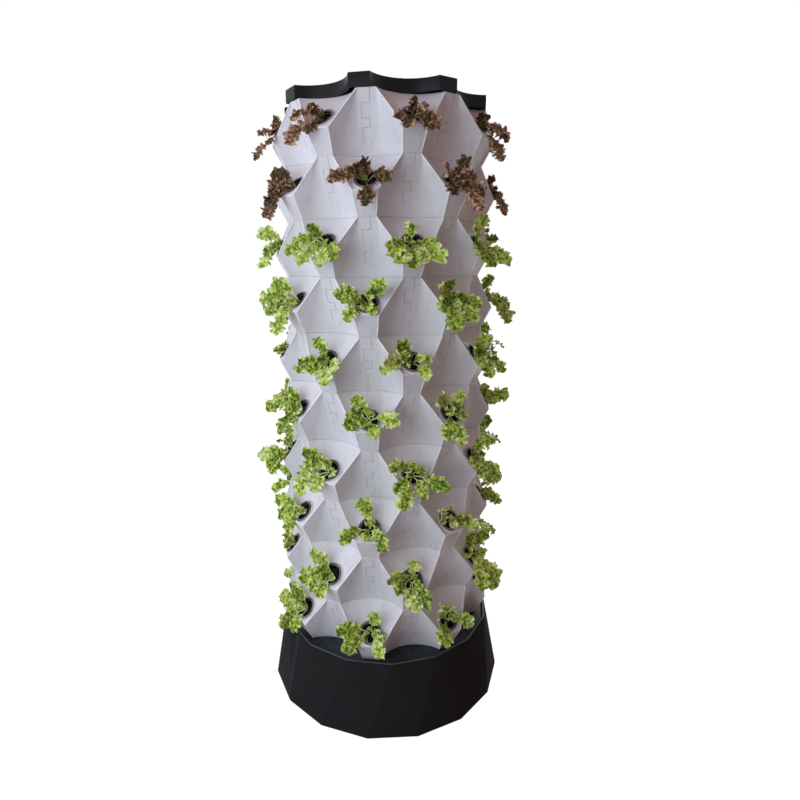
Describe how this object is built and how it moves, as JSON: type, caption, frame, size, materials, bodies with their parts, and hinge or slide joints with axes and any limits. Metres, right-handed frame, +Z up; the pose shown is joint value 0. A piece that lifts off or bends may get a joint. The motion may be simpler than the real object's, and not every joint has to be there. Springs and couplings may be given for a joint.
{
  "type": "vertical planter tower",
  "caption": "Tall hydroponic planter tower: a stack of faceted white rings with leaning pockets of lettuce under a dark cap, on a round dark water tank with a pump inside",
  "frame": {"origin": "Middle of the tank's flat underside, on the tower's axis", "axes": "+Z up the tower; -Y is direction 0, where a pocket of each even tier points; the picture is taken from about 8 degrees to the +X side of -Y"},
  "size_m": [0.7238, 0.7164, 1.6053],
  "materials": {
    "shell": "white moulded plastic, smooth, soft gloss",
    "tank": "black moulded plastic with a low sheen",
    "deck": "dark blue-black moulded plastic",
    "cap": "black moulded plastic, satin",
    "green_foliage": "yellow-green curly lettuce in a black net cup",
    "bronze_foliage": "red and bronze curly lettuce in a black net cup",
    "pipe": "pale grey extruded pipe",
    "pump": "black pump housing",
    "impeller": "natural nylon"
  },
  "bodies": {
    "tower": {"water_tank": "tank", "tank_deck": "deck", "tier_10": "shell", "tier_09": "shell", "tier_08": "shell", "tier_07": "shell", "tier_06": "shell", "tier_05": "shell", "tier_04": "shell", "tier_03": "shell", "tier_02": "shell", "tier_01": "shell", "riser_lower": "pipe", "riser_coupling": "pipe", "riser_upper": "pipe", "spreader_dish": "pipe", "pump_housing": "pump", "pump_strainer": "pump"},
    "cap": {"top_cap": "cap"},
    "impeller": {"pump_impeller": "impeller"},
    "cup_01_1": {"planted_cup_01_1": "bronze_foliage"},
    "cup_01_2": {"planted_cup_01_2": "bronze_foliage"},
    "cup_01_3": {"planted_cup_01_3": "bronze_foliage"},
    "cup_01_4": {"planted_cup_01_4": "bronze_foliage"},
    "cup_01_5": {"planted_cup_01_5": "bronze_foliage"},
    "cup_01_6": {"planted_cup_01_6": "bronze_foliage"},
    "cup_01_7": {"planted_cup_01_7": "bronze_foliage"},
    "cup_01_8": {"planted_cup_01_8": "bronze_foliage"},
    "cup_02_1": {"planted_cup_02_1": "bronze_foliage"},
    "cup_02_2": {"planted_cup_02_2": "bronze_foliage"},
    "cup_02_3": {"planted_cup_02_3": "bronze_foliage"},
    "cup_02_4": {"planted_cup_02_4": "bronze_foliage"},
    "cup_02_5": {"planted_cup_02_5": "bronze_foliage"},
    "cup_02_6": {"planted_cup_02_6": "bronze_foliage"},
    "cup_02_7": {"planted_cup_02_7": "bronze_foliage"},
    "cup_02_8": {"planted_cup_02_8": "bronze_foliage"},
    "cup_03_1": {"planted_cup_03_1": "green_foliage"},
    "cup_03_2": {"planted_cup_03_2": "green_foliage"},
    "cup_03_3": {"planted_cup_03_3": "green_foliage"},
    "cup_03_4": {"planted_cup_03_4": "green_foliage"},
    "cup_03_5": {"planted_cup_03_5": "green_foliage"},
    "cup_03_6": {"planted_cup_03_6": "green_foliage"},
    "cup_03_7": {"planted_cup_03_7": "green_foliage"},
    "cup_03_8": {"planted_cup_03_8": "green_foliage"},
    "cup_04_1": {"planted_cup_04_1": "green_foliage"},
    "cup_04_2": {"planted_cup_04_2": "green_foliage"},
    "cup_04_3": {"planted_cup_04_3": "green_foliage"},
    "cup_04_4": {"planted_cup_04_4": "green_foliage"},
    "cup_04_5": {"planted_cup_04_5": "green_foliage"},
    "cup_04_6": {"planted_cup_04_6": "green_foliage"},
    "cup_04_7": {"planted_cup_04_7": "green_foliage"},
    "cup_04_8": {"planted_cup_04_8": "green_foliage"},
    "cup_05_1": {"planted_cup_05_1": "green_foliage"},
    "cup_05_2": {"planted_cup_05_2": "green_foliage"},
    "cup_05_3": {"planted_cup_05_3": "green_foliage"},
    "cup_05_4": {"planted_cup_05_4": "green_foliage"},
    "cup_05_5": {"planted_cup_05_5": "green_foliage"},
    "cup_05_6": {"planted_cup_05_6": "green_foliage"},
    "cup_05_7": {"planted_cup_05_7": "green_foliage"},
    "cup_05_8": {"planted_cup_05_8": "green_foliage"}
  },
  "joints": [
    {"name": "cap_lift", "type": "slide", "parent": "tower", "child": "cap", "axis": [0, 0, 1], "range_m": [0, 0.1]},
    {"name": "cup_01_1_lift", "type": "slide", "parent": "tower", "child": "cup_01_1", "axis": [0.2844, -0.6867, 0.669], "range_m": [0, 0.075]},
    {"name": "cup_01_2_lift", "type": "slide", "parent": "tower", "child": "cup_01_2", "axis": [0.6867, -0.2844, 0.669], "range_m": [0, 0.075]},
    {"name": "cup_01_3_lift", "type": "slide", "parent": "tower", "child": "cup_01_3", "axis": [0.6867, 0.2844, 0.669], "range_m": [0, 0.075]},
    {"name": "cup_01_4_lift", "type": "slide", "parent": "tower", "child": "cup_01_4", "axis": [0.2844, 0.6867, 0.669], "range_m": [0, 0.075]},
    {"name": "cup_01_5_lift", "type": "slide", "parent": "tower", "child": "cup_01_5", "axis": [-0.2844, 0.6867, 0.669], "range_m": [0, 0.075]},
    {"name": "cup_01_6_lift", "type": "slide", "parent": "tower", "child": "cup_01_6", "axis": [-0.6867, 0.2844, 0.669], "range_m": [0, 0.075]},
    {"name": "cup_01_7_lift", "type": "slide", "parent": "tower", "child": "cup_01_7", "axis": [-0.6867, -0.2844, 0.669], "range_m": [0, 0.075]},
    {"name": "cup_01_8_lift", "type": "slide", "parent": "tower", "child": "cup_01_8", "axis": [-0.2844, -0.6867, 0.669], "range_m": [0, 0.075]},
    {"name": "cup_02_1_lift", "type": "slide", "parent": "tower", "child": "cup_02_1", "axis": [0, -0.7433, 0.669], "range_m": [0, 0.075]},
    {"name": "cup_02_2_lift", "type": "slide", "parent": "tower", "child": "cup_02_2", "axis": [0.5256, -0.5256, 0.669], "range_m": [0, 0.075]},
    {"name": "cup_02_3_lift", "type": "slide", "parent": "tower", "child": "cup_02_3", "axis": [0.7433, 0, 0.669], "range_m": [0, 0.075]},
    {"name": "cup_02_4_lift", "type": "slide", "parent": "tower", "child": "cup_02_4", "axis": [0.5256, 0.5256, 0.669], "range_m": [0, 0.075]},
    {"name": "cup_02_5_lift", "type": "slide", "parent": "tower", "child": "cup_02_5", "axis": [0, 0.7433, 0.669], "range_m": [0, 0.075]},
    {"name": "cup_02_6_lift", "type": "slide", "parent": "tower", "child": "cup_02_6", "axis": [-0.5256, 0.5256, 0.669], "range_m": [0, 0.075]},
    {"name": "cup_02_7_lift", "type": "slide", "parent": "tower", "child": "cup_02_7", "axis": [-0.7433, 0, 0.669], "range_m": [0, 0.075]},
    {"name": "cup_02_8_lift", "type": "slide", "parent": "tower", "child": "cup_02_8", "axis": [-0.5256, -0.5256, 0.669], "range_m": [0, 0.075]},
    {"name": "cup_03_1_lift", "type": "slide", "parent": "tower", "child": "cup_03_1", "axis": [0.2844, -0.6867, 0.669], "range_m": [0, 0.075]},
    {"name": "cup_03_2_lift", "type": "slide", "parent": "tower", "child": "cup_03_2", "axis": [0.6867, -0.2844, 0.669], "range_m": [0, 0.075]},
    {"name": "cup_03_3_lift", "type": "slide", "parent": "tower", "child": "cup_03_3", "axis": [0.6867, 0.2844, 0.669], "range_m": [0, 0.075]},
    {"name": "cup_03_4_lift", "type": "slide", "parent": "tower", "child": "cup_03_4", "axis": [0.2844, 0.6867, 0.669], "range_m": [0, 0.075]},
    {"name": "cup_03_5_lift", "type": "slide", "parent": "tower", "child": "cup_03_5", "axis": [-0.2844, 0.6867, 0.669], "range_m": [0, 0.075]},
    {"name": "cup_03_6_lift", "type": "slide", "parent": "tower", "child": "cup_03_6", "axis": [-0.6867, 0.2844, 0.669], "range_m": [0, 0.075]},
    {"name": "cup_03_7_lift", "type": "slide", "parent": "tower", "child": "cup_03_7", "axis": [-0.6867, -0.2844, 0.669], "range_m": [0, 0.075]},
    {"name": "cup_03_8_lift", "type": "slide", "parent": "tower", "child": "cup_03_8", "axis": [-0.2844, -0.6867, 0.669], "range_m": [0, 0.075]},
    {"name": "cup_04_1_lift", "type": "slide", "parent": "tower", "child": "cup_04_1", "axis": [0, -0.7433, 0.669], "range_m": [0, 0.075]},
    {"name": "cup_04_2_lift", "type": "slide", "parent": "tower", "child": "cup_04_2", "axis": [0.5256, -0.5256, 0.669], "range_m": [0, 0.075]},
    {"name": "cup_04_3_lift", "type": "slide", "parent": "tower", "child": "cup_04_3", "axis": [0.7433, 0, 0.669], "range_m": [0, 0.075]},
    {"name": "cup_04_4_lift", "type": "slide", "parent": "tower", "child": "cup_04_4", "axis": [0.5256, 0.5256, 0.669], "range_m": [0, 0.075]},
    {"name": "cup_04_5_lift", "type": "slide", "parent": "tower", "child": "cup_04_5", "axis": [0, 0.7433, 0.669], "range_m": [0, 0.075]},
    {"name": "cup_04_6_lift", "type": "slide", "parent": "tower", "child": "cup_04_6", "axis": [-0.5256, 0.5256, 0.669], "range_m": [0, 0.075]},
    {"name": "cup_04_7_lift", "type": "slide", "parent": "tower", "child": "cup_04_7", "axis": [-0.7433, 0, 0.669], "range_m": [0, 0.075]},
    {"name": "cup_04_8_lift", "type": "slide", "parent": "tower", "child": "cup_04_8", "axis": [-0.5256, -0.5256, 0.669], "range_m": [0, 0.075]},
    {"name": "cup_05_1_lift", "type": "slide", "parent": "tower", "child": "cup_05_1", "axis": [0.2844, -0.6867, 0.669], "range_m": [0, 0.075]},
    {"name": "cup_05_2_lift", "type": "slide", "parent": "tower", "child": "cup_05_2", "axis": [0.6867, -0.2844, 0.669], "range_m": [0, 0.075]},
    {"name": "cup_05_3_lift", "type": "slide", "parent": "tower", "child": "cup_05_3", "axis": [0.6867, 0.2844, 0.669], "range_m": [0, 0.075]},
    {"name": "cup_05_4_lift", "type": "slide", "parent": "tower", "child": "cup_05_4", "axis": [0.2844, 0.6867, 0.669], "range_m": [0, 0.075]},
    {"name": "cup_05_5_lift", "type": "slide", "parent": "tower", "child": "cup_05_5", "axis": [-0.2844, 0.6867, 0.669], "range_m": [0, 0.075]},
    {"name": "cup_05_6_lift", "type": "slide", "parent": "tower", "child": "cup_05_6", "axis": [-0.6867, 0.2844, 0.669], "range_m": [0, 0.075]},
    {"name": "cup_05_7_lift", "type": "slide", "parent": "tower", "child": "cup_05_7", "axis": [-0.6867, -0.2844, 0.669], "range_m": [0, 0.075]},
    {"name": "cup_05_8_lift", "type": "slide", "parent": "tower", "child": "cup_05_8", "axis": [-0.2844, -0.6867, 0.669], "range_m": [0, 0.075]},
    {"name": "impeller_spin", "type": "hinge", "parent": "tower", "child": "impeller", "pos_m": [0, -0.027, 0.0393], "axis": [0, -1, 0], "continuous": true}
  ]
}
